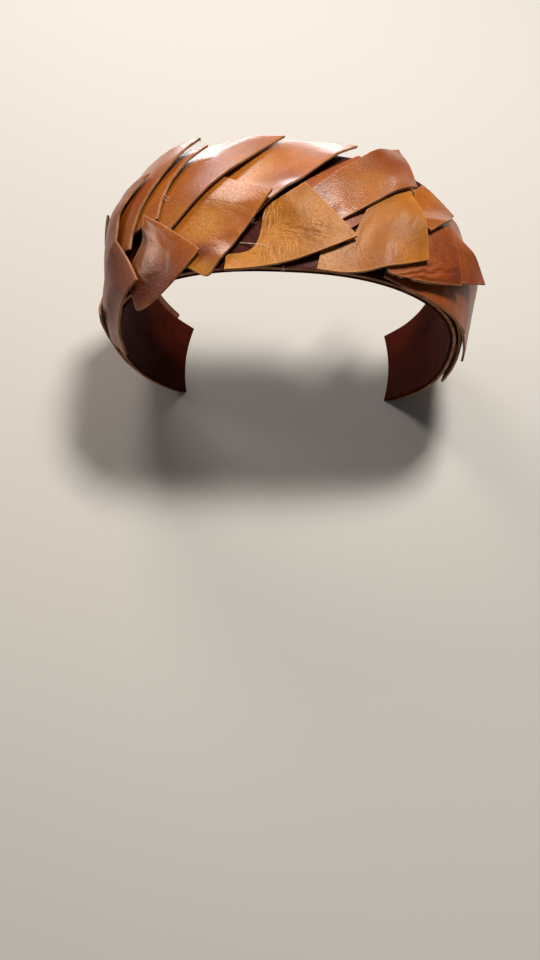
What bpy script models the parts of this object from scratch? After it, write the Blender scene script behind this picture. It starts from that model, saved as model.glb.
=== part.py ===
"""Leather headband: a stiff, wide band of two leather layers, covered by overlapping leaves of cut leather.

It stands on its two ends, as it would by itself on a table. X runs across the head from ear to ear, -Y is the
front and +Z is up. The origin is the middle of the base of the box around the whole object. Lengths in this file
are millimetres until a mesh is made.

The band is an arch drawn out in Y, so it unrolls flat. A place on it is given as on the unrolled leather: "along",
from the top of the arch towards +X, "across", from the middle towards the rear, and "height" above the cover.
"""

import math
from collections import namedtuple

import bpy
import numpy as np

MM = 0.001

# The arch, as the cover's outer face: two superellipses that meet at the widest level
HALF_WIDTH = 87.0
RISE = 62.0
RISE_POWER = 2.3
DROP = 78.0
DROP_POWER = 2.6
END_TURN = 140.0

# The band's width across at shares of its half length, and how far its middle bulges over its edges
WIDTHS = [(0.00, 74.0), (0.35, 73.0), (0.55, 70.0), (0.65, 66.0), (1.00, 46.0)]
TOP_BULGE = 4.0

COVER_THICK = 1.6
LINING_THICK = 1.2
LEAF_THICK = 1.3
GAP = 0.3
LEAF_GAP = 0.4

BAND_STEPS = 46
BAND_COLUMNS = 6
LEAF_STEPS = 10
NIP_START = 0.27
NIP_RUN = 0.14
LEAF_COLUMNS = 6

# How leather settles: a leaf takes the highest thing within this reach under it, is softened this many times and
# then has its hollows filled this many times. Past the band's edges it hangs on, falling this much for each
# millimetre, and behind it turns down more and more, up to the steepest slope.
REACH = 2
SOFTENING = 4
SMOOTHING = 8
EDGE_FALL = 0.25
REAR_FALL = 0.14
STEEPEST = 1.4

# A leaf is a strip cut from flat leather. along and across give its tip's right corner, and heading the way its
# right side runs there, in degrees from the band's length towards the rear. bend is how much less it is at the
# root. slant moves the left corner of the tip ahead. nip is the share of the width that is gathered in near the
# root. The last five lift the corners, at the root and at the tip, and the middle of the right side.
Leaf = namedtuple("Leaf", "name along across heading bend length width taper slant nip "
                          "root_right root_left tip_right tip_left middle_right")

# In the order of sewing, from the +X end, so that each leaf covers the root of the one before it
LEAVES = [
    Leaf("end_leaf",       180, -20,   7,   0, 56, 40, 1.10,   0, 0.0,  0, 0,  0, 0, 0),
    Leaf("rear_leaf_12",   163,   3,  10,   5, 60, 24, 1.10, -20, 0.0,  0, 0,  0, 0, 0),
    Leaf("front_leaf_10",  156, -28,   8,   5, 62, 31, 1.00, -15, 0.0,  0, 0,  1, 0, 0),
    Leaf("rear_leaf_11",   134,   8,  18,  10, 60, 29, 1.00, -25, 0.0,  0, 0,  1, 0, 0),
    Leaf("front_leaf_09",  129, -34,   5,   5, 60, 33, 1.00, -10, 0.0,  0, 0,  1, 0, 0),
    Leaf("front_leaf_08",  102, -38,   8,  20, 56, 33, 1.00, -10, 0.0, -2, 0,  0, 0, 0),
    Leaf("rear_leaf_10",    97, -15,  42,  40, 52, 28, 1.00,  -2, 0.0,  0, 0,  5, 2, 0),
    Leaf("front_leaf_07",   82, -28,  32,  38, 38, 28, 1.10,  14, 0.0,  0, 0,  0, 0, 0),
    Leaf("rear_leaf_09",    66,  22,  45,   0, 52, 34, 1.00, -20, 0.0,  0, 0,  0, 0, 0),
    Leaf("rear_leaf_08",    84,  20,  55,   0, 37, 20, 1.00, -10, 0.0,  0, 0,  2, 1, 0),
    Leaf("front_leaf_06",   63, -26,  35,  43, 50, 39, 0.90,  23, 0.65, 0, 0,  0, 0, 0),
    Leaf("rear_leaf_07",    58,  17,  41,   0, 57, 31, 0.62,  42, 0.0,  0, 2,  0, 13, 0),
    Leaf("front_leaf_05",   32, -21,  36,  36, 62, 36, 0.85,  -6, 0.72, 2, 0,  1, 0, 0),
    Leaf("rear_leaf_06",    33,  45,  52,   3, 76, 38, 1.00, -39, 0.0,  1, 0,  3, 4, 1),
    Leaf("front_leaf_04",   -6,  -3,  58,   5, 49, 42, 1.00,   3, 0.0,  1, 0,  1, 0, 0),
    Leaf("rear_leaf_05",    -3,  44,  50,   0, 78, 38, 1.00, -40, 0.0,  1, 2, -3, 3, 1),
    Leaf("rear_leaf_04",   -39,  37,  42, -50, 50, 34, 1.00, -48, 0.0,  0, 0,  2, 0, 0),
    Leaf("front_leaf_03",  -37, -30,  50,  60, 46, 39, 0.60,   4, 0.0, -6, 0,  0, 0, 0),
    Leaf("rear_leaf_03",   -42,  40,  45, -32, 66, 34, 1.00, -45, 0.0,  0, 0,  3, 0, 0),
    Leaf("rear_leaf_02",   -65,  24,  58, -25, 58, 34, 1.00, -32, 0.0,  1, 0,  0, 0, 1),
    Leaf("rear_leaf_01",   -97,  24,  35, -20, 60, 32, 1.00, -40, 0.0,  1, 0,  2, 0, 0),
    Leaf("front_leaf_02",  -69, -36,  15,  10, 52, 25, 0.50,  -5, 0.0, -7, 0,  0, 0, 0),
    Leaf("end_leaf_rear", -128,  14,  12,   0, 54, 28, 1.00, -30, 0.0,  0, 0,  1, 0, 0),
    Leaf("front_leaf_01", -105, -33,  -8,   0, 75, 36, 1.00, -31, 0.0,  0, 0,  0, 0, 0),
]

# Colours as linear values, from the tan grain side to the dark lining
TAN = (0.40, 0.155, 0.045)
RED_TAN = (0.30, 0.085, 0.030)
LINING_BROWN = (0.055, 0.018, 0.010)


def arch_line():
    """The arch in fine steps from -X to +X: the lengths along it, its x and z, and the way it runs."""
    turn = np.radians(np.linspace(-END_TURN, END_TURN, 2401))
    drop = np.cos(turn) < 0
    power = np.where(drop, DROP_POWER, RISE_POWER)
    height = np.where(drop, DROP, RISE)
    x = HALF_WIDTH * np.sign(turn) * np.abs(np.sin(turn)) ** (2 / power)
    z = height * np.sign(np.cos(turn)) * np.abs(np.cos(turn)) ** (2 / power)
    z -= z[0]
    along = np.concatenate([[0.0], np.cumsum(np.hypot(np.diff(x), np.diff(z)))])
    along -= along[-1] / 2
    tangent = np.stack([np.gradient(x, along), np.gradient(z, along)])
    tangent /= np.hypot(*tangent)
    return along, x, z, tangent


ALONG, ARCH_X, ARCH_Z, TANGENT = arch_line()
HALF_LENGTH = float(ALONG[-1])


def band_width(along):
    shares, widths = zip(*WIDTHS)
    return np.interp(np.abs(along) / HALF_LENGTH, shares, widths)


def on_band(along, across, height):
    """The point in space at a height over the cover. Past its edges the bulge falls on as a straight slope."""
    width = band_width(along)
    bulge = TOP_BULGE * (width / WIDTHS[0][1]) ** 2
    share = np.abs(2 * across / width)
    rise = bulge * np.where(share < 1, 1 - share ** 2, 2 - 2 * share) + height
    tangent_x = np.interp(along, ALONG, TANGENT[0])
    tangent_z = np.interp(along, ALONG, TANGENT[1])
    x = np.interp(along, ALONG, ARCH_X) - tangent_z * rise
    z = np.interp(along, ALONG, ARCH_Z) + tangent_x * rise
    return np.stack([x, across + 0 * x, z], -1)


def add_object(name, points, triangles, colour, roughness):
    """One object with its own material, from points in millimetres."""
    mesh = bpy.data.meshes.new(name)
    mesh.from_pydata((points * MM).tolist(), [], triangles)
    mesh.shade_smooth()
    mesh.set_sharp_from_angle(angle=math.radians(40))
    material = bpy.data.materials.new(name)
    material.use_nodes = True
    shader = material.node_tree.nodes["Principled BSDF"]
    shader.inputs["Base Color"].default_value = (*colour, 1.0)
    shader.inputs["Roughness"].default_value = roughness
    mesh.materials.append(material)
    thing = bpy.data.objects.new(name, mesh)
    bpy.context.collection.objects.link(thing)
    return thing


def slab(steps, columns):
    """The triangles of a sheet with two faces: the top's grid of points comes first, then the bottom's."""
    row = columns + 1
    under = (steps + 1) * row
    faces = []
    for i in range(steps):
        for j in range(columns):
            a, b, c, d = i * row + j, (i + 1) * row + j, (i + 1) * row + j + 1, i * row + j + 1
            faces += [(a, b, c), (a, c, d), (a + under, c + under, b + under), (a + under, d + under, c + under)]
    rim = [i * row for i in range(steps)]
    rim += [steps * row + j for j in range(columns)]
    rim += [i * row + columns for i in range(steps, 0, -1)]
    rim += [j for j in range(columns, 0, -1)]
    for a, b in zip(rim, rim[1:] + rim[:1]):
        faces += [(a, a + under, b + under), (a, b + under, b)]
    return faces


def band_layer(name, top, thickness, colour, roughness):
    """One leather layer of the band. Both of its ends are cut level, so that it stands on them."""
    along = np.linspace(-HALF_LENGTH, HALF_LENGTH, BAND_STEPS + 1)[:, None] * np.ones(BAND_COLUMNS + 1)
    across = band_width(along) * np.linspace(-0.5, 0.5, BAND_COLUMNS + 1)
    faces = []
    for height in (top, top - thickness):
        points = on_band(along, across, height)
        for end in (0, -1):
            points[end, :, 0] -= points[end, :, 2] * TANGENT[0][end] / TANGENT[1][end]
            points[end, :, 2] = 0.0
        faces.append(points.reshape(-1, 3))
    return add_object(name, np.concatenate(faces), slab(BAND_STEPS, BAND_COLUMNS), colour, roughness)


class Pile:
    """The height of the topmost leather over the unrolled band, on a grid of one millimetre."""

    def __init__(self):
        self.half_length = int(HALF_LENGTH) + 20
        self.half_width = 90
        along = np.arange(-self.half_length, self.half_length + 1)[:, None]
        across = np.arange(-self.half_width, self.half_width + 1)[None, :]
        past_edge = np.abs(across) - band_width(along) / 2
        on_leather = (past_edge < 1) & (np.abs(along) < HALF_LENGTH + 1)
        self.solid = np.where(on_leather, 0.0, -100.0)
        turned = np.minimum(past_edge, STEEPEST / REAR_FALL / 2)
        turned = REAR_FALL * turned ** 2 + STEEPEST * (past_edge - turned)
        hang = EDGE_FALL * past_edge + turned * (across > 0)
        self.soft = np.where(past_edge > 0, -hang, 0.0)

    def cells(self, along, across):
        i = np.clip(np.rint(along).astype(int) + self.half_length, 0, 2 * self.half_length)
        j = np.clip(np.rint(across).astype(int) + self.half_width, 0, 2 * self.half_width)
        return i, j

    def settled(self, along, across):
        """The height of the highest leather within reach of each place."""
        i, j = self.cells(along, across)
        top = np.full(i.shape, -100.0)
        for di in range(-REACH, REACH + 1):
            for dj in range(-REACH, REACH + 1):
                top = np.maximum(top, self.soft[i + di, j + dj])
        return top + LEAF_GAP


def samples(corner_places):
    """The grid places under a triangle, and their weights, with a margin of about a millimetre around it."""
    (ax, ay), (bx, by), (cx, cy) = corner_places
    low = np.floor(corner_places.min(0)) - 1
    high = np.ceil(corner_places.max(0)) + 1
    x, y = np.meshgrid(np.arange(low[0], high[0] + 1), np.arange(low[1], high[1] + 1), indexing="ij")
    area = (bx - ax) * (cy - ay) - (by - ay) * (cx - ax)
    wb = ((x - ax) * (cy - ay) - (y - ay) * (cx - ax)) / area
    wc = ((bx - ax) * (y - ay) - (by - ay) * (x - ax)) / area
    weights = np.stack([1 - wb - wc, wb, wc])
    margin = 1.2 / math.sqrt(abs(area))
    inside = weights.min(0) > -margin
    return x[inside], y[inside], weights[:, inside]


def leaf_outline(leaf):
    """The leaf's grid of places on the unrolled band, from root to tip and from its right side to its left."""
    fine = np.linspace(1, 0, 101)
    heading = np.radians(leaf.heading - leaf.bend * (1 - fine))
    step = leaf.length / 100
    along = leaf.along - step * np.concatenate([[0], np.cumsum(np.cos(heading[:-1]))])
    across = leaf.across - step * np.concatenate([[0], np.cumsum(np.sin(heading[:-1]))])
    share = np.linspace(0, 1, LEAF_STEPS + 1)
    right = np.stack([np.interp(share, fine[::-1], along[::-1]), np.interp(share, fine[::-1], across[::-1])], -1)
    turn = np.radians(leaf.heading - leaf.bend * (1 - share))
    slant = math.tan(math.radians(leaf.slant)) * share
    to_left = np.stack([-np.sin(turn) + slant * np.cos(turn), np.cos(turn) + slant * np.sin(turn)], -1)
    width = leaf.width * (leaf.taper + (1 - leaf.taper) * share)
    width *= 1 - leaf.nip * np.clip(1 - (share - NIP_START) / NIP_RUN, 0, 1)
    leftward = np.linspace(0, 1, LEAF_COLUMNS + 1)
    return right[:, None, :] + leftward[None, :, None] * (to_left * width[:, None])[:, None, :]


def softened(heights):
    """Each height moved halfway to the mean of its neighbours."""
    padded = np.pad(heights, 1, mode="edge")
    around = padded[:-2, 1:-1] + padded[2:, 1:-1] + padded[1:-1, :-2] + padded[1:-1, 2:]
    return 0.5 * heights + 0.125 * around


def lay(leaf, pile):
    """The heights of a leaf's underside: it settles on the pile, takes its lifts and is raised until it clears."""
    places = leaf_outline(leaf)
    resting = pile.settled(places[..., 0], places[..., 1])
    heights = resting
    for _ in range(SOFTENING):
        heights = np.maximum(resting, softened(heights))
    u = np.linspace(0, 1, LEAF_STEPS + 1)[:, None]
    v = np.linspace(0, 1, LEAF_COLUMNS + 1)[None, :]
    right = leaf.root_right * (1 - u) + leaf.tip_right * u ** 3 + leaf.middle_right * 1.3 * u * np.sin(math.pi * u)
    heights = heights + (1 - v) ** 2 * right
    heights = heights + v ** 2 * (leaf.root_left * (1 - u) + leaf.tip_left * u ** 3)

    triangles = [face for face in slab(LEAF_STEPS, LEAF_COLUMNS) if max(face) < heights.size]
    flat = places.reshape(-1, 2)
    covered = [(face, samples(flat[list(face)])) for face in triangles]
    heights = heights.ravel()
    for _ in range(30):
        raised = heights.copy()
        for face, (x, y, weights) in covered:
            lack = pile.solid[pile.cells(x, y)] + LEAF_GAP - heights[list(face)] @ weights
            if lack.max() > 0:
                raised[list(face)] = np.maximum(raised[list(face)], heights[list(face)] + lack.max())
        if np.allclose(raised, heights):
            break
        heights = raised
    heights = heights.reshape(places.shape[:2])
    for _ in range(SMOOTHING):
        heights = np.maximum(heights, softened(heights))
    heights = heights.ravel()
    for face, (x, y, weights) in covered:
        cell = pile.cells(x, y)
        top = heights[list(face)] @ weights + LEAF_THICK
        pile.solid[cell] = np.maximum(pile.solid[cell], top)
        pile.soft[cell] = np.maximum(pile.soft[cell], top)
    return places, heights.reshape(places.shape[:2])


for old in list(bpy.data.objects):
    bpy.data.objects.remove(old)

band_cover = band_layer("band_cover", 0.0, COVER_THICK, RED_TAN, 0.5)
band_lining = band_layer("band_lining", -COVER_THICK - GAP, LINING_THICK, LINING_BROWN, 0.75)

pieces = [band_cover, band_lining]
pile = Pile()
for leaf in LEAVES:
    places, underside = lay(leaf, pile)
    faces = [on_band(places[..., 0], places[..., 1], height) for height in (underside + LEAF_THICK, underside)]
    points = np.concatenate(faces).reshape(-1, 3)
    pieces.append(add_object(leaf.name, points, slab(LEAF_STEPS, LEAF_COLUMNS), TAN, 0.45))

# The whole object is moved so that the middle of the base of its box is the origin
corners = np.array([vertex.co for piece in pieces for vertex in piece.data.vertices])
middle = (corners.min(0) + corners.max(0)) / 2
for piece in pieces:
    piece.location = (-middle[0], -middle[1], 0.0)
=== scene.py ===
"""Leather headband: a wide, stiff band of two leather layers under overlapping leaves of cut leather.

Each leaf is made from the top side of its CAD solid. That sheet is made fine and smooth, creased and grained
as the leather in the photograph, and given its thickness again, with a raw cut edge and a flesh side.

A pair like (158, 245) is a place in the photograph, in its pixels. A dent, a fold or a stain of a leaf is a
row that starts with such a place, and the function that reads the row says what its other numbers are.
"""

import math

import bmesh
import bpy
import numpy as np
from mathutils import Euler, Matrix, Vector, noise
from mathutils.bvhtree import BVHTree
from mathutils.kdtree import KDTree


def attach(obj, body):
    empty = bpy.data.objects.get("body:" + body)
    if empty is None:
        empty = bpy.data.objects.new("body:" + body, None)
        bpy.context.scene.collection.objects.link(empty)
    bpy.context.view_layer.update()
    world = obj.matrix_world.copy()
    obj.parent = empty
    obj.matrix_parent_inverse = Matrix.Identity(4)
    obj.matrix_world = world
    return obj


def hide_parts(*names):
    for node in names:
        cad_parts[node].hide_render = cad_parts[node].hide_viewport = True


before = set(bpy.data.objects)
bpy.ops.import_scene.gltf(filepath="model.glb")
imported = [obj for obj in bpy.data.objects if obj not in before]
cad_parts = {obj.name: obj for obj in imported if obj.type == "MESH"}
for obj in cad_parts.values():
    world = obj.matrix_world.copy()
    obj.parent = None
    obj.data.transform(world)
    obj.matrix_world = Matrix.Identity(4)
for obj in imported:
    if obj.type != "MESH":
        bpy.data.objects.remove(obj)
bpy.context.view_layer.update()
bpy.ops.object.select_all(action="DESELECT")

MM = 0.001

# Camera: it looks down on the band from the front, as a hand-held phone does. The lens is the phone's main
# one, and the band stands in the upper half of the upright picture.
PICTURE_MIDDLE = np.array([270, 480])
PICTURE_HEIGHT = 960
FOCAL_PIXELS = 970
SENSOR_MM = 36
AIM = Vector((-0.62, -6.44, 66.0)) * MM
AIM_PIXEL = (287, 290)
AIM_DISTANCE = 520 * MM
CAMERA_AZIMUTH = math.radians(3)
CAMERA_ELEVATION = math.radians(50)


def direction(azimuth, elevation):
    """The way from the object to someone who stands at that azimuth, from the front, and elevation."""
    level = math.cos(elevation)
    return Vector((math.sin(azimuth) * level, -math.cos(azimuth) * level, math.sin(elevation)))


back = direction(CAMERA_AZIMUTH, CAMERA_ELEVATION)
pitch = math.atan((PICTURE_MIDDLE[1] - AIM_PIXEL[1]) / FOCAL_PIXELS)
yaw = math.atan((AIM_PIXEL[0] - PICTURE_MIDDLE[0]) / FOCAL_PIXELS * math.cos(pitch))
turn = back.to_track_quat("Z", "Y")
turn = turn @ Euler((-pitch, 0, 0)).to_quaternion() @ Euler((0, yaw, 0)).to_quaternion()
eye = AIM + back * AIM_DISTANCE
bpy.ops.object.camera_add(location=eye, rotation=turn.to_euler())
camera = bpy.context.object
camera.name = "camera"
camera.data.lens = FOCAL_PIXELS / PICTURE_HEIGHT * SENSOR_MM
camera.data.sensor_width = SENSOR_MM
bpy.context.scene.camera = camera
camera_axes = np.array(turn.to_matrix())


def in_picture(points):
    """Where points of the object fall in the photograph, in its pixels."""
    seen = (points - np.array(eye)) @ camera_axes
    return PICTURE_MIDDLE + FOCAL_PIXELS * seen[:, :2] * (1, -1) / -seen[:, 2:]


# Studio: a pale, matt floor under soft light. The key is a small window high over the band, which gives the
# leaves their shadows and streaks of gloss. A long, low window behind puts the glare on the band's top. Two
# weaker ones make the highlights of the left leaves, and a wide one in front opens the shadows.
FLOOR_SIZE = 6.0
FLOOR_GREY = "#C8C5C0"
FLOOR_ROUGHNESS = 0.9
FLOOR_SHINE = 0.2
ROOM_GREY = "#C9CCD0"
ROOM_STRENGTH = 0.085
# Columns: name, azimuth and elevation in degrees, distance, width and height in metres, watts, tint
WINDOWS = [
    ("window_low_behind", 12, 180, 0.9, (0.6, 0.10), 3.2, "#F8FAFF"),
    ("window_high", -34, 113, 0.9, (0.20, 0.18), 9.5, "#FFFAF2"),
    ("window_left_behind", -154, 36, 0.8, (0.25, 0.25), 2.4, "#FFF4EC"),
    ("window_left", -103, 22, 0.8, (0.22, 0.18), 1.1, "#FFEEDC"),
    ("fill_front", 15, 30, 1.4, (1.0, 1.0), 0.7, "#FFF6EC"),
]


def linear(hex_colour):
    """A colour given as an sRGB hex value, as the linear one that Blender's sockets take."""
    shares = [int(hex_colour[i:i + 2], 16) / 255 for i in (1, 3, 5)]
    return tuple(c / 12.92 if c <= 0.04045 else ((c + 0.055) / 1.055) ** 2.4 for c in shares) + (1.0,)


def add_node(tree, kind, sockets, **settings):
    """Adds a node. sockets gives its inputs, by name or number, a value or the output that feeds them."""
    node = tree.nodes.new("ShaderNode" + kind)
    for name, value in settings.items():
        setattr(node, name, value)
    for name, value in sockets.items():
        if isinstance(value, bpy.types.NodeSocket):
            tree.links.new(value, node.inputs[name])
        else:
            node.inputs[name].default_value = value
    return node


def start_material(name):
    """A new material, its tree and its shader."""
    material = bpy.data.materials.new(name)
    material.use_nodes = True
    tree = material.node_tree
    return material, tree, tree.nodes["Principled BSDF"]


for name, azimuth, elevation, distance, size, power, tint in WINDOWS:
    towards = direction(math.radians(azimuth), math.radians(elevation))
    place = AIM + towards * distance
    facing = towards.to_track_quat("Z", "Y").to_euler()
    bpy.ops.object.light_add(type="AREA", location=place, rotation=facing)
    lamp = bpy.context.object
    lamp.name = name
    lamp.data.shape = "RECTANGLE"
    lamp.data.size, lamp.data.size_y = size
    lamp.data.energy = power
    lamp.data.color = linear(tint)[:3]

room = bpy.data.worlds.new("room")
room.use_nodes = True
room.node_tree.nodes["Background"].inputs["Color"].default_value = linear(ROOM_GREY)
room.node_tree.nodes["Background"].inputs["Strength"].default_value = ROOM_STRENGTH
bpy.context.scene.world = room
bpy.context.scene.view_settings.view_transform = "Standard"

# The floor is uncoated backdrop paper. It scatters all light, so it shows soft shadows and no gloss.
bpy.ops.mesh.primitive_plane_add(size=FLOOR_SIZE)
floor = bpy.context.object
floor.name = "floor"
paper, tree, shader = start_material("matt_paper")
shader.inputs["Base Color"].default_value = linear(FLOOR_GREY)
shader.inputs["Roughness"].default_value = FLOOR_ROUGHNESS
shader.inputs["Specular IOR Level"].default_value = FLOOR_SHINE
floor.data.materials.append(paper)

# Band cover: the outer layer of the stiff band, 1.6 mm vegetable-tanned leather, wetted and formed over a
# block and cut level at both ends. The leaves are sewn to it, so that it shows only between them and at its
# edges.
MERGE_MM = 0.01
BAND_CELL_LEVELS = 2
BAND_ROUNDING_MM = 0.35
ROUNDING_SEGMENTS = 2
EDGE_ANGLE = math.radians(50)
EDGE_FACING = 0.8
QUAD_BEND = math.radians(35)
QUAD_SKEW = math.radians(60)


def only(obj):
    """Makes obj the one selected and active object."""
    bpy.ops.object.select_all(action="DESELECT")
    obj.select_set(True)
    bpy.context.view_layer.objects.active = obj


def copy_of(node_name, piece_name):
    """A copy of a CAD node's loose triangles, joined into one skin, with no finish yet."""
    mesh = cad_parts[node_name].data.copy()
    mesh.materials.clear()
    piece = bpy.data.objects.new(piece_name, mesh)
    bpy.context.collection.objects.link(piece)
    only(piece)
    bpy.ops.mesh.customdata_custom_splitnormals_clear()
    bpy.ops.object.mode_set(mode="EDIT")
    bpy.ops.mesh.select_all(action="SELECT")
    bpy.ops.mesh.remove_doubles(threshold=MERGE_MM * MM)
    bpy.ops.object.mode_set(mode="OBJECT")
    return piece


def apply(obj, kind, **settings):
    """Adds a modifier to the active object and applies it."""
    modifier = obj.modifiers.new(kind, kind)
    for name, value in settings.items():
        setattr(modifier, name, value)
    bpy.ops.object.modifier_apply(modifier=modifier.name)


def round_edges(obj, width_mm):
    """Softens the edges that the knife left, and shades the piece smooth."""
    apply(obj, "BEVEL", width=width_mm * MM, segments=ROUNDING_SEGMENTS, limit_method="ANGLE",
          angle_limit=EDGE_ANGLE)
    bpy.ops.object.shade_smooth()


def formed_layer(node_name, piece_name):
    """A layer of the band: the CAD's flat triangles become one smooth skin that keeps its sharp cut edges."""
    piece = copy_of(node_name, piece_name)
    bpy.ops.object.mode_set(mode="EDIT")
    bpy.ops.mesh.select_mode(type="FACE")
    bpy.ops.mesh.select_all(action="SELECT")
    bpy.ops.mesh.tris_convert_to_quads(face_threshold=QUAD_BEND, shape_threshold=QUAD_SKEW)
    bpy.ops.object.mode_set(mode="OBJECT")
    skin = bmesh.new()
    skin.from_mesh(piece.data)
    crease = skin.edges.layers.float.new("crease_edge")
    for edge in skin.edges:
        edge[crease] = float(edge.calc_face_angle() > EDGE_ANGLE)
    skin.to_mesh(piece.data)
    skin.free()
    apply(piece, "SUBSURF", levels=BAND_CELL_LEVELS, render_levels=BAND_CELL_LEVELS)
    round_edges(piece, BAND_ROUNDING_MM)
    return piece


def bare_edges(layer, finish):
    """Gives the narrow front and rear edges of a layer of the band their own finish."""
    layer.data.materials.append(finish)
    for face in layer.data.polygons:
        if abs(face.normal.y) > EDGE_FACING:
            face.material_index = 1


# Dyed leather, grain side out. Its grain is a net of small rounded cells with dark valleys, over which wax
# or finish lies. Real cells are 0.2 to 0.5 mm across. They are drawn at 0.75 to 1.1 mm here, because finer
# ones don't show in the render.
CLOUD_MM = 16
FLECK_MM = 2.2
PORE_MM = 0.35
PORE_SHARE = 0.35
BEND_CELLS = 3
BEND_SHARE = 1.2
VALLEY_DYE = 0.6
WORN_DYE = 0.4
GLOSS_FALL = 0.05
GLOSS_RISE = 0.06
LEATHER_IOR = 1.5
WAX_ROUGHNESS = 0.28
GOLD_DYE = "#B87A28"
RED_DYE = "#8A3616"
# The dark tint of stains, and of painted shade: in creases, under neighbouring leaves and on the left side.
SHADE_AND_STAIN_TINT = "#55200E"
# The sockets of a Mix node that mixes colours, by number because others have the same names
SHARE, UNDER, OVER, MIXED = 0, 6, 7, 2


def grain_leather(name, dye, shade, rubbed, cell_mm, relief_mm, roughness, coat, shine):
    """Dyed leather with its grain side out: cells of grain, colour that gathers in them, and cloudy dye.

    The vertex values gold and red yellow and redden it, a third darkens it with stains and with painted
    shade, and rim rubs it pale along a cut edge.
    """
    material, tree, shader = start_material(name)
    place = add_node(tree, "TexCoord", {}).outputs["Object"]
    clouds = add_node(tree, "TexNoise", {
        "Vector": place, "Scale": 1 / (CLOUD_MM * MM), "Detail": 4.0, "Roughness": 0.55})
    flecks = add_node(tree, "TexNoise", {"Vector": place, "Scale": 1 / (FLECK_MM * MM), "Detail": 3.0})
    bent = add_node(tree, "TexNoise", {
        "Vector": place, "Scale": 1 / (BEND_CELLS * cell_mm * MM), "Detail": 2.0})
    shift = add_node(tree, "VectorMath", {
        0: bent.outputs["Color"], "Scale": BEND_SHARE * cell_mm * MM}, operation="SCALE")
    bent_place = add_node(tree, "VectorMath", {0: place, 1: shift.outputs["Vector"]}, operation="ADD")
    cells = add_node(tree, "TexVoronoi", {
        "Vector": bent_place.outputs["Vector"], "Scale": 1 / (cell_mm * MM)}, feature="SMOOTH_F1")
    valley = add_node(tree, "MapRange", {
        "Value": cells.outputs["Distance"], "From Min": 0.35, "From Max": 0.75})

    cloud_share = add_node(tree, "MapRange", {
        "Value": clouds.outputs["Fac"], "From Min": 0.36, "From Max": 0.68, "To Max": 0.85})
    fleck_share = add_node(tree, "MapRange", {
        "Value": flecks.outputs["Fac"], "From Min": 0.5, "From Max": 0.75, "To Max": 0.30})
    valley_share = add_node(tree, "Math", {0: valley.outputs[0], 1: VALLEY_DYE}, operation="MULTIPLY")
    rim = add_node(tree, "Attribute", {}, attribute_name="rim")
    ragged = add_node(tree, "Math", {0: rim.outputs["Fac"], 1: flecks.outputs["Fac"]}, operation="MULTIPLY")
    worn_share = add_node(tree, "MapRange", {
        "Value": ragged.outputs[0], "From Min": 0.2, "From Max": 0.5, "To Max": WORN_DYE})
    dyes = [(cloud_share.outputs[0], shade), (fleck_share.outputs[0], rubbed)]
    for vertex_value, tint in (("gold", GOLD_DYE), ("red", RED_DYE), ("shade_and_stain", SHADE_AND_STAIN_TINT)):
        dyes.append((add_node(tree, "Attribute", {}, attribute_name=vertex_value).outputs["Fac"], tint))
    dyes += [(valley_share.outputs[0], shade), (worn_share.outputs[0], rubbed)]
    colour = linear(dye)
    for share, tint in dyes:
        mixed = add_node(tree, "Mix", {SHARE: share, UNDER: colour, OVER: linear(tint)}, data_type="RGBA")
        colour = mixed.outputs[MIXED]
    tree.links.new(colour, shader.inputs["Base Color"])

    pores = add_node(tree, "TexNoise", {"Vector": place, "Scale": 1 / (PORE_MM * MM), "Detail": 2.0})
    crowns = add_node(tree, "MapRange", {"Value": valley.outputs[0], "To Min": 1.0, "To Max": 0.0})
    height = add_node(tree, "Math", {
        0: pores.outputs["Fac"], 1: PORE_SHARE, 2: crowns.outputs[0]}, operation="MULTIPLY_ADD")
    bump = add_node(tree, "Bump", {"Strength": 1.0, "Distance": relief_mm * MM, "Height": height.outputs[0]})
    tree.links.new(bump.outputs["Normal"], shader.inputs["Normal"])
    gloss = add_node(tree, "MapRange", {
        "Value": clouds.outputs["Fac"], "From Min": 0.3, "From Max": 0.7,
        "To Min": roughness - GLOSS_FALL, "To Max": roughness + GLOSS_RISE})
    tree.links.new(gloss.outputs[0], shader.inputs["Roughness"])
    shader.inputs["IOR"].default_value = LEATHER_IOR
    shader.inputs["Specular IOR Level"].default_value = shine
    shader.inputs["Coat Weight"].default_value = coat
    shader.inputs["Coat Roughness"].default_value = WAX_ROUGHNESS
    return material


# Leather where its fibres show. They are bundles of about 0.1 mm, drawn at 0.4 to 0.9 mm so that they show.
# The surface is matt, and its stray ends catch a little light.
PATCH_MM = 7
FIBRE_ROUGHNESS = 0.88
FIBRE_SHINE = 0.3
NAP_SHEEN = 0.15
NAP_SHEEN_ROUGHNESS = 0.5


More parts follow.
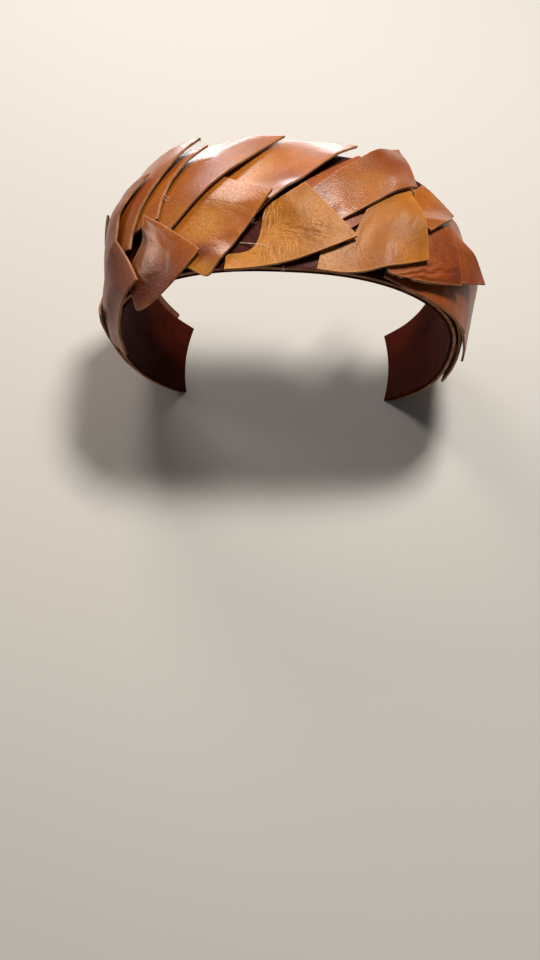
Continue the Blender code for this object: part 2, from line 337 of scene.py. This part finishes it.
def fibre_leather(name, light, dark, fibre_mm, relief_mm):
    """Leather where its fibres show, as at a cut edge or on the flesh side."""
    material, tree, shader = start_material(name)
    place = add_node(tree, "TexCoord", {}).outputs["Object"]
    fibres = add_node(tree, "TexNoise", {
        "Vector": place, "Scale": 1 / (fibre_mm * MM), "Detail": 4.0, "Roughness": 0.65, "Distortion": 0.6})
    patches = add_node(tree, "TexNoise", {"Vector": place, "Scale": 1 / (PATCH_MM * MM), "Detail": 2.0})
    both = add_node(tree, "Math", {0: fibres.outputs["Fac"], 1: patches.outputs["Fac"]}, operation="ADD")
    share = add_node(tree, "MapRange", {"Value": both.outputs[0], "From Min": 0.75, "From Max": 1.25})
    mixed = add_node(tree, "Mix", {
        SHARE: share.outputs[0], UNDER: linear(dark), OVER: linear(light)}, data_type="RGBA")
    tree.links.new(mixed.outputs[MIXED], shader.inputs["Base Color"])
    bump = add_node(tree, "Bump", {
        "Strength": 0.8, "Distance": relief_mm * MM, "Height": fibres.outputs["Fac"]})
    tree.links.new(bump.outputs["Normal"], shader.inputs["Normal"])
    shader.inputs["Roughness"].default_value = FIBRE_ROUGHNESS
    shader.inputs["Specular IOR Level"].default_value = FIBRE_SHINE
    shader.inputs["Sheen Weight"].default_value = NAP_SHEEN
    shader.inputs["Sheen Roughness"].default_value = NAP_SHEEN_ROUGHNESS
    return material


# The cover's leather is tanned in bark and formed wet, so its grain is tight and shallow, its colour a deep
# red brown, and it has hardly any shine. The knife leaves its edge raw, pale and matt.
COVER_DYE = "#4E1C10"
COVER_SHADE = "#35110A"
COVER_RUBBED = "#6E3420"
EDGE_PALE = "#BC8A5E"
EDGE_BROWN = "#6E4024"
cut_edge = fibre_leather("raw_cut_edge", EDGE_PALE, EDGE_BROWN, fibre_mm=0.5, relief_mm=0.12)
cover_leather = grain_leather("vegetable_tanned_cover", COVER_DYE, COVER_SHADE, COVER_RUBBED, cell_mm=1.0,
                              relief_mm=0.05, roughness=0.5, coat=0.0, shine=0.1)
cover = formed_layer("band_cover", "band_cover_leather")
cover.data.materials.append(cover_leather)
bare_edges(cover, cut_edge)
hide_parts("band_cover")
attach(cover, "root")

# Band lining: the inner layer, 1.2 mm lining leather glued flesh to flesh against the cover. It is dyed dark
# through and through and has no finish, so it is matt, with a fine, faint grain, and its edge is dark too.
LINING_DYE = "#43140A"
LINING_SHADE = "#290B05"
LINING_RUBBED = "#562010"
lining_leather = grain_leather("lining_leather", LINING_DYE, LINING_SHADE, LINING_RUBBED, cell_mm=0.8,
                               relief_mm=0.03, roughness=0.6, coat=0.0, shine=0.02)
lining = formed_layer("band_lining", "band_lining_leather")
lining.data.materials.append(lining_leather)
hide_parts("band_lining")
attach(lining, "root")

# Leaves: strips of tan leather 1.3 mm thick, cut with a knife from flat hide and sewn down by their roots,
# so that each covers the stitches of the one before. They are first made fine and smooth, and then creased
# where the photograph shows it.
LEAF_THICK_MM = 1.3
LEAF_ROUNDING_MM = 0.22
LEAF_LEVELS = 3
FINE_LEVELS = 4
WALL_TOLERANCE_MM = 0.005
CORNER_REACH = 14
ARCH_CENTRE = Vector((0, 0, 55)) * MM
ACROSS_ARCH = Vector((1, 0, 1))


def delete_faces(sheet, unwanted):
    """Deletes the faces of a sheet that are unwanted."""
    bpy.ops.object.mode_set(mode="EDIT")
    bpy.ops.mesh.select_mode(type="FACE")
    bpy.ops.mesh.select_all(action="DESELECT")
    skin = bmesh.from_edit_mesh(sheet.data)
    for face in skin.faces:
        face.select_set(unwanted(face))
    bpy.ops.mesh.delete(type="FACE")
    bpy.ops.object.mode_set(mode="OBJECT")


def in_wall(face):
    """Whether a face is in the narrow wall round a leaf."""
    return any(abs(edge.calc_length() / MM - LEAF_THICK_MM) < WALL_TOLERANCE_MM for edge in face.edges)


def on_flesh_side(face):
    """Whether a face looks towards the middle of the arch."""
    return face.normal.dot((face.calc_center_median() - ARCH_CENTRE) * ACROSS_ARCH) < 0


def grid_diagonals(skin):
    """The edges that cut the cells of the CAD's grid in two. Round each triangle its edges go diagonal,
    along, across, and a corner triangle has the last two on the border."""
    first = next(face for face in skin.faces if sum(edge.is_boundary for edge in face.edges) == 2)
    kinds = {edge: 0 for edge in first.edges if not edge.is_boundary}
    waiting = [first]
    done = set()
    while waiting:
        face = waiting.pop()
        if face in done:
            continue
        done.add(face)
        loop = next(loop for loop in face.loops if loop.edge in kinds)
        for _ in range(3):
            kinds[loop.link_loop_next.edge] = (kinds[loop.edge] + 1) % 3
            loop = loop.link_loop_next
        waiting += [other for edge in face.edges for other in edge.link_faces]
    return [edge for edge in skin.edges if kinds[edge] == 0]


def leaf_sheet(node_name, levels, rounded):
    """The top side of a CAD leaf as a fine, smooth sheet. Its corners stay sharp but for those near the
    places in rounded."""
    sheet = copy_of(node_name, node_name + "_leather")
    delete_faces(sheet, in_wall)
    delete_faces(sheet, on_flesh_side)
    bpy.ops.object.mode_set(mode="EDIT")
    bpy.ops.mesh.select_mode(type="EDGE")
    bpy.ops.mesh.select_all(action="DESELECT")
    skin = bmesh.from_edit_mesh(sheet.data)
    for edge in grid_diagonals(skin):
        edge.select_set(True)
    bpy.ops.mesh.dissolve_edges(use_verts=False)
    skin = bmesh.from_edit_mesh(sheet.data)
    sharp = skin.verts.layers.float.new("crease_vert")
    for corner in skin.verts:
        if len(corner.link_edges) == 2:
            place = in_picture(np.array([corner.co]))[0]
            corner[sharp] = float(all(math.dist(place, soft) > CORNER_REACH for soft in rounded))
    bmesh.update_edit_mesh(sheet.data)
    bpy.ops.object.mode_set(mode="OBJECT")
    apply(sheet, "SUBSURF", levels=levels, render_levels=levels, boundary_smooth="ALL")
    return sheet


# How far a leaf may be creased before it meets its neighbours. The room is kept flat near them for a few
# cells and then grows slowly, because a leaf bends gently.
OVER_SHEET_MM = 0.1
UNDER_SHEET_MM = LEAF_THICK_MM + 0.12
ROOM_LIMIT_MM = 3.0
ROOM_LEAST_MM = 0.0001
ROOM_SHARE = 0.75
ROOM_MARGIN_STEPS = 5
ROOM_SLOPE_STEPS = 30
ROOM_SLOPE = 0.15
ROOM_SMOOTHINGS = 8

cad_points = []
cad_faces = []
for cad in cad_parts.values():
    first = len(cad_points)
    cad_points += [vertex.co for vertex in cad.data.vertices]
    cad_faces += [[first + i for i in face.vertices] for face in cad.data.polygons]
everything = BVHTree.FromPolygons(cad_points, cad_faces)


def column(elements, name, size=3):
    """Reads one value, or one triple, of every vertex, edge or normal of a mesh."""
    found = np.empty(len(elements) * size)
    elements.foreach_get(name, found)
    return found.reshape(-1, size)


def clearance(points, normals):
    """How far each place of a sheet may move out and in before it meets other leather, in millimetres."""
    rooms = []
    for start_mm, way in ((OVER_SHEET_MM, 1), (-UNDER_SHEET_MM, -1)):
        distances = np.full(len(points), ROOM_LIMIT_MM)
        for k, (point, normal) in enumerate(zip(points, normals)):
            normal = Vector(normal)
            start = Vector(point) + normal * start_mm * MM
            distance = everything.ray_cast(start, normal * way, ROOM_LIMIT_MM * MM)[3]
            if distance is not None:
                distances[k] = distance / MM
        rooms.append(distances)
    return rooms


def smoothed(values, ends, rounds):
    """The values of a sheet's places, each drawn towards its neighbours' mean."""
    shares = np.bincount(ends.ravel(), minlength=len(values))
    for _ in range(rounds):
        sums = np.bincount(ends[:, 0], values[ends[:, 1]], len(values))
        sums += np.bincount(ends[:, 1], values[ends[:, 0]], len(values))
        values = 0.5 * values + 0.5 * sums / shares
    return values


def tapered(room, mesh):
    """The same room, but wide and smooth around each place that has little of it."""
    ends = column(mesh.edges, "vertices", 2).astype(int)
    points = column(mesh.vertices, "co")
    lengths = np.linalg.norm(points[ends[:, 0]] - points[ends[:, 1]], axis=1) / MM
    for slope, steps in ((0, ROOM_MARGIN_STEPS), (ROOM_SLOPE, ROOM_SLOPE_STEPS)):
        for _ in range(steps):
            least = room.copy()
            np.minimum.at(least, ends[:, 0], room[ends[:, 1]] + slope * lengths)
            np.minimum.at(least, ends[:, 1], room[ends[:, 0]] + slope * lengths)
            room = least
    return smoothed(room, ends, ROOM_SMOOTHINGS)


# The shapes that creases take: pleats spread from a stitch, wrinkles lie beside each other, and a leaf cut
# from a soft part of the hide cockles slowly.
PLEAT_FADE = 1.5
PLEAT_SIDE_DEGREES = 12
PLEAT_WANDER = 2.5
WANDER_PIXELS = 9
WANDER_DEGREES = 30
WAVER_SPACINGS = 3.5
WRINKLE_LEAST_SHARE = 0.02
# Columns: folds for each spacing, folds for each length, the layer's own place in the noise, strength
WRINKLE_LAYERS = [(2, 1, 0.3, 1.0), (4, 2, 7, 0.4)]
COCKLE_MM = 13


def spots(seen, places):
    """Soft patches: each is x, y, its two radii in pixels, the turn of the first in degrees, and its
    strength, which is in millimetres for a bulge and a share for a stain and for painted shade alike."""
    total = np.zeros(len(seen))
    for x, y, radius, cross_radius, turned, strength in places:
        angle = math.radians(turned)
        away = seen - (x, y)
        along = away[:, 0] * math.cos(angle) - away[:, 1] * math.sin(angle)
        across = away[:, 0] * math.sin(angle) + away[:, 1] * math.cos(angle)
        total += strength * np.exp(-(along / radius) ** 2 - (across / cross_radius) ** 2)
    return total


def pleats(seen, fans):
    """Short folds that spread from a place: x, y, inner and outer radius in pixels, first and last bearing in
    degrees, how many folds, and their height in millimetres."""
    total = np.zeros(len(seen))
    for x, y, inner, outer, first, last, count, height in fans:
        away = (seen - (x, y)) * (1, -1)
        reach = np.hypot(*away.T)
        bearing = (np.degrees(np.arctan2(away[:, 1], away[:, 0])) - first) % 360
        sweep = (last - first) % 360
        middle = (inner + outer) / 2
        fade = np.exp(-((reach - middle) / (0.5 * (outer - inner))) ** 2 * PLEAT_FADE)
        sides = np.clip(np.minimum(bearing, sweep - bearing) / PLEAT_SIDE_DEGREES, 0, 1)
        wander = np.array([noise.noise(Vector((r / WANDER_PIXELS, b / WANDER_DEGREES, x)))
                           for r, b in zip(reach, bearing)])
        wave = np.sin(bearing / sweep * count * 2 * math.pi + PLEAT_WANDER * wander)
        total += height * fade * sides * wave
    return total


def wrinkles(seen, fields):
    """Fine wrinkles in soft patches: x, y, the patch's two radii and its turn, the bearing that the wrinkles
    run along, their spacing and length in pixels, and their height in millimetres."""
    total = np.zeros(len(seen))
    for x, y, radius, cross_radius, turned, bearing, spacing, length, height in fields:
        share = spots(seen, [(x, y, radius, cross_radius, turned, 1)])
        angle = math.radians(bearing)
        waver = np.array([noise.noise(Vector((*place / (WAVER_SPACINGS * spacing), x))) for place in seen])
        along = (seen[:, 0] * math.cos(angle) - seen[:, 1] * math.sin(angle)) / length
        across = (seen[:, 0] * math.sin(angle) + seen[:, 1] * math.cos(angle)) / spacing + waver
        for k in np.flatnonzero(share > WRINKLE_LEAST_SHARE):
            for crossing, running, layer, strength in WRINKLE_LAYERS:
                fold = noise.noise(Vector((crossing * across[k], running * along[k], layer)))
                total[k] += height * share[k] * strength * fold
    return total


def cockle(points, seed):
    """The slow unevenness of a leaf, from minus one to one."""
    return np.array([noise.noise(Vector(p) / (COCKLE_MM * MM) + Vector((seed, 0, 0))) for p in points])


# The flesh side of a leaf, which shows where a leaf curls up, is napped like suede: brown, matt and softly
# mottled.
FLESH_BROWN = "#6E4024"
FLESH_DARK = "#482311"
flesh_side = fibre_leather("napped_flesh_side", FLESH_BROWN, FLESH_DARK, fibre_mm=0.9, relief_mm=0.10)

RIM_WIDTH_MM = 0.9
# Painted shade: a leaf's colour is darkened in the hollows of its pleats and wrinkles.
CREASE_SHADE_DEPTH = 0.5
CREASE_SHADE_FULL_MM = 0.3
# Painted shade: a leaf's colour is darkened where another leaf lies close over it.
NEIGHBOUR_SHADE_DEPTH = 0.25
NEIGHBOUR_SHADE_MM = 0.9


def paint(obj, name, values):
    """Keeps a value for each vertex, which a material reads by that name."""
    layer = obj.data.attributes.new(name, "FLOAT", "POINT")
    layer.data.foreach_set("value", np.clip(values, 0, 1).astype(np.float32))


def rim_distances(sheet, points):
    """How far each place of a sheet lies from its edge, in millimetres."""
    skin = bmesh.new()
    skin.from_mesh(sheet.data)
    rim = [vertex.co.copy() for vertex in skin.verts if vertex.is_boundary]
    skin.free()
    nearest = KDTree(len(rim))
    for k, place in enumerate(rim):
        nearest.insert(place, k)
    nearest.balance()
    return np.array([nearest.find(Vector(point))[2] for point in points]) / MM


def dress_leaf(node_name, grain, seed, levels=LEAF_LEVELS, unevenness_mm=0.30, rounded=(), gold=(), red=(),
               shade_and_stain=(), bulges=(), folds=(), fine=()):
    """Makes one leaf. Its sheet is moved in and out by all its creases as far as its neighbours leave room,
    painted, thickened to leather, softened at its cut edge, and put in place of the CAD's leaf.

    The stain lists are spots: gold and red are stains, and the dark one holds stains and painted shade.
    bulges are the dents of spots, folds are pleats and fine is wrinkles."""
    sheet = leaf_sheet(node_name, levels, rounded)
    points = column(sheet.data.vertices, "co")
    normals = column(sheet.data.vertex_normals, "vector")
    seen = in_picture(points)
    outward, inward = [tapered(room, sheet.data) for room in clearance(points, normals)]
    fold = pleats(seen, folds) + wrinkles(seen, fine)
    move = unevenness_mm * cockle(points, seed) + spots(seen, bulges) + fold
    limit = ROOM_SHARE * np.where(move > 0, outward, inward) + ROOM_LEAST_MM
    move = limit * np.tanh(move / limit)
    to_rim = rim_distances(sheet, points)
    points += normals * (move * MM)[:, None]
    sheet.data.vertices.foreach_set("co", points.ravel())

    # Painted shade in the hollows of the pleats and wrinkles.
    crease_shade = CREASE_SHADE_DEPTH * np.clip(-fold / CREASE_SHADE_FULL_MM, 0, 1)
    # Painted shade where another leaf lies close over this one.
    shade_under_neighbours = NEIGHBOUR_SHADE_DEPTH * np.clip(1 - outward / NEIGHBOUR_SHADE_MM, 0, 1)
    paint(sheet, "gold", spots(seen, gold))
    paint(sheet, "red", spots(seen, red))
    paint(sheet, "shade_and_stain", spots(seen, shade_and_stain) + crease_shade + shade_under_neighbours)
    paint(sheet, "rim", np.exp(-(to_rim / RIM_WIDTH_MM) ** 2))
    for finish in (grain, cut_edge, flesh_side):
        sheet.data.materials.append(finish)
    apply(sheet, "SOLIDIFY", thickness=LEAF_THICK_MM * MM, offset=-1.0, material_offset=2,
          material_offset_rim=1)
    round_edges(sheet, LEAF_ROUNDING_MM)
    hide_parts(node_name)
    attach(sheet, "root")


# Smooth tan leaves: the left half of the top and its front. They are calf, drum-dyed cognac and lightly
# waxed, so that the dye is cloudy and the light lies on it in pale streaks along the folds.
COGNAC_DYE = "#B4651A"
COGNAC_SHADE = "#90480E"
COGNAC_RUBBED = "#C4823C"
LYING_FLAT_MM = 0.12
smooth_tan = grain_leather("waxed_cognac_calf", COGNAC_DYE, COGNAC_SHADE, COGNAC_RUBBED, cell_mm=1.0,
                           relief_mm=0.05, roughness=0.34, coat=0.35, shine=0.5)
# The dark spots on this leaf's lower half and at its left edge are painted shade.
dress_leaf("front_leaf_03", smooth_tan, 3, rounded=[(140, 312)],
           bulges=[(162, 246, 30, 13, 48, 0.6)],
           red=[(160, 262, 50, 40, 0, 0.4), (158, 290, 40, 18, 20, 0.7)],
           shade_and_stain=[(150, 286, 34, 22, 20, 0.8), (138, 245, 8, 30, -20, 0.6)])
dress_leaf("front_leaf_04", smooth_tan, 4, levels=FINE_LEVELS, rounded=[(213, 277)],
           bulges=[(250, 222, 44, 14, 56, 1.7)],
           gold=[(202, 267, 22, 8, 0, 0.9), (208, 222, 15, 30, -35, 0.9)],
           red=[(204, 250, 12, 9, 0, 0.9)],
           shade_and_stain=[(200, 250, 9, 6, 20, 0.7)],
           folds=[(198, 248, 3, 26, 250, 380, 12, 0.05)])
for number, bulges, gold, red, shade_and_stain in (
    (3, [], [], [(150, 200, 30, 60, 0, 0.6)], []),
    (4, [], [], [(180, 195, 12, 40, -25, 0.8)], []),
    (5, [], [(190, 215, 14, 30, -40, 0.5)], [(206, 178, 7, 26, -35, 0.7)], [(190, 228, 12, 10, 0, 0.4)]),
    (6, [(286, 186, 28, 10, 32, -1.0)], [(262, 170, 12, 20, -30, 0.6)], [(292, 180, 24, 12, 30, 0.5)],
     [(258, 205, 16, 8, 50, 0.3)]),
):
    dress_leaf(f"rear_leaf_{number:02d}", smooth_tan, 10 + number, unevenness_mm=LYING_FLAT_MM, bulges=bulges,
               gold=gold, red=red, shade_and_stain=shade_and_stain)
dress_leaf("rear_leaf_08", smooth_tan, 18, red=[(440, 220, 30, 12, 0, 0.4)])
dress_leaf("end_leaf_rear", smooth_tan, 32)

# Grained golden leaves: the two wide ones at the middle of the front. They are cut from the belly, where the
# hide is loose and yellower, with little finish, and are wrinkled by the pull of their stitches.
BELLY_DYE = "#BA7626"
BELLY_SHADE = "#9A5C16"
BELLY_RUBBED = "#C4883E"
golden = grain_leather("grained_golden_leather", BELLY_DYE, BELLY_SHADE, BELLY_RUBBED, cell_mm=1.1,
                       relief_mm=0.07, roughness=0.44, coat=0.0, shine=0.22)
dress_leaf("front_leaf_05", golden, 5, levels=FINE_LEVELS,
           fine=[(268, 216, 30, 20, 30, 80, 2.6, 12, 0.34), (308, 231, 46, 10, 0, 5, 2.4, 10, 0.36),
                 (277, 250, 28, 10, 15, 85, 2.6, 10, 0.28), (325, 212, 34, 20, 0, 50, 2.4, 5, 0.26)])
dress_leaf("front_leaf_06", golden, 6, levels=FINE_LEVELS,
           bulges=[(362, 234, 16, 6, 60, 0.5)],
           red=[(372, 262, 40, 10, 0, 0.2), (390, 238, 50, 45, 0, 0.22)],
           fine=[(375, 245, 60, 50, 0, 60, 2.4, 5, 0.05)])

# Pebbled leaf: the wide one right of the top. It is calf shrunken in tanning, so that its grain stands up in
# small pebbles, and its wax catches the light on each of them.
PEBBLED_DYE = "#9C5414"
PEBBLED_SHADE = "#7C3C0C"
PEBBLED_RUBBED = "#AE6A2C"
pebbled_tan = grain_leather("pebbled_tan_calf", PEBBLED_DYE, PEBBLED_SHADE, PEBBLED_RUBBED, cell_mm=0.75,
                            relief_mm=0.08, roughness=0.36, coat=0.2, shine=0.4)
dress_leaf("rear_leaf_07", pebbled_tan, 17, levels=FINE_LEVELS,
           bulges=[(338, 194, 26, 12, 100, 0.7)],
           gold=[(375, 185, 26, 20, 0, 0.4)],
           red=[(395, 165, 24, 12, -30, 0.5)],
           fine=[(342, 200, 30, 36, 0, 85, 1.8, 4, 0.07)])

# Red tan leaves: those of both sides and the ends. They are the same calf dyed deeper and redder, with less
# wax, so that they are duller than the tan ones.
RED_TAN_DYE = "#A2521C"
RED_TAN_SHADE = "#783212"
RED_TAN_RUBBED = "#B26E38"
red_tan = grain_leather("deep_red_tan_leather", RED_TAN_DYE, RED_TAN_SHADE, RED_TAN_RUBBED, cell_mm=1.0,
                        relief_mm=0.05, roughness=0.40, coat=0.15, shine=0.4)
# The dark spots on these leaves at the left end are painted shade on that side of the band.
dress_leaf("front_leaf_01", red_tan, 1, rounded=[(128, 375)], shade_and_stain=[(112, 300, 30, 90, 0, 0.5)])
dress_leaf("front_leaf_02", red_tan, 2, rounded=[(128, 335)], shade_and_stain=[(118, 290, 22, 70, 0, 0.3)])
dress_leaf("front_leaf_07", red_tan, 7, levels=FINE_LEVELS, rounded=[(384, 277)],
           red=[(410, 286, 14, 7, 0, 0.6), (452, 276, 14, 12, 0, 0.7)],
           shade_and_stain=[(455, 278, 10, 12, 0, 0.5)],
           folds=[(382, 276, 6, 78, -22, 16, 4, 0.32)],
           fine=[(432, 276, 34, 12, 0, 5, 3.4, 18, 0.30)])
for number in (8, 9, 10):
    dress_leaf(f"front_leaf_{number:02d}", red_tan, number)
# The dark spots on the rear leaves at the left end are painted shade too.
dress_leaf("rear_leaf_01", red_tan, 11, shade_and_stain=[(108, 250, 26, 80, 0, 0.4)])
dress_leaf("rear_leaf_02", red_tan, 12, shade_and_stain=[(122, 225, 18, 60, -20, 0.2)])
for number in (9, 10, 11, 12):
    dress_leaf(f"rear_leaf_{number:02d}", red_tan, 10 + number)
dress_leaf("end_leaf", red_tan, 31)

# Loose fibres: a strand drawn from the flesh side lies across the hollow beside front_leaf_04, held at both
# ends, and the knife has left tufts of frayed fibre at some cut edges. They are pale bundles of undyed
# fibre, drawn a little thicker than real ones so that they show.
FIBRE_PALE = "#F0DCC6"
FIBRE_BROWN = "#B98A5C"
FIBRE_RADIUS_MM = 0.11
STRAND_PIXELS = [(240, 243), (252, 243.5), (267, 246)]
STRAND_LIFT_MM = 1.2
STRAND_KNOTS = 12
STRAND_THICKNESS = 2.3
# Columns: x and y in pixels, how many fibres, their length in millimetres
TUFTS = [(168, 199, 9, 2.2), (252, 224, 6, 1.8), (199, 141, 6, 1.5), (283, 268, 5, 1.2)]
TUFT_SEED = 5
TUFT_SPREAD = 3
TUFT_RISE = 0.8
TUFT_CURL = 0.3
TUFT_SUNK = 0.1
TUFT_KNOTS = 6
TUFT_THICKNESS = 0.8


def under_pixel(x, y):
    """The place and the outward normal of the surface that the photograph's pixel shows."""
    away = np.array([x - PICTURE_MIDDLE[0], PICTURE_MIDDLE[1] - y, -FOCAL_PIXELS])
    place, normal, _, _ = everything.ray_cast(eye, Vector(camera_axes @ away).normalized())
    return place, normal


fibre_lines = bpy.data.curves.new("loose_fibres", "CURVE")
fibre_lines.dimensions = "3D"
fibre_lines.bevel_depth = FIBRE_RADIUS_MM * MM
fibre_lines.bevel_resolution = 1
fibre_lines.use_fill_caps = True


def add_fibre(points, thickness):
    """Adds one fibre through the points. Its thickness is a multiple of the common one."""
    line = fibre_lines.splines.new("POLY")
    line.points.add(len(points) - 1)
    for knot, point in zip(line.points, points):
        knot.co = (*point, 1)
        knot.radius = thickness


held = [under_pixel(*pixel) for pixel in STRAND_PIXELS]
start, end = held[0][0], held[-1][0]
over = (start + end) / 2 + held[1][1] * STRAND_LIFT_MM * MM
add_fibre([start * (1 - t) ** 2 + over * 2 * t * (1 - t) + end * t ** 2
           for t in np.linspace(0, 1, STRAND_KNOTS)], STRAND_THICKNESS)
chance = np.random.RandomState(TUFT_SEED)
for x, y, count, length in TUFTS:
    for _ in range(count):
        place, normal = under_pixel(x + chance.uniform(-TUFT_SPREAD, TUFT_SPREAD),
                                    y + chance.uniform(-TUFT_SPREAD, TUFT_SPREAD))
        if place is None:
            continue
        way = (normal * TUFT_RISE + Vector(chance.uniform(-1, 1, 3))).normalized()
        curl = Vector(chance.uniform(-1, 1, 3)) * TUFT_CURL
        add_fibre([place + (way * t + curl * t * t) * length * MM
                   for t in np.linspace(-TUFT_SUNK, 1, TUFT_KNOTS)], TUFT_THICKNESS)
fibres = bpy.data.objects.new("loose_fibres", fibre_lines)
bpy.context.collection.objects.link(fibres)
only(fibres)
bpy.ops.object.convert(target="MESH")
bpy.ops.object.shade_smooth()
fibres.data.materials.append(
    fibre_leather("drawn_fibre", FIBRE_PALE, FIBRE_BROWN, fibre_mm=0.4, relief_mm=0.03))
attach(fibres, "root")
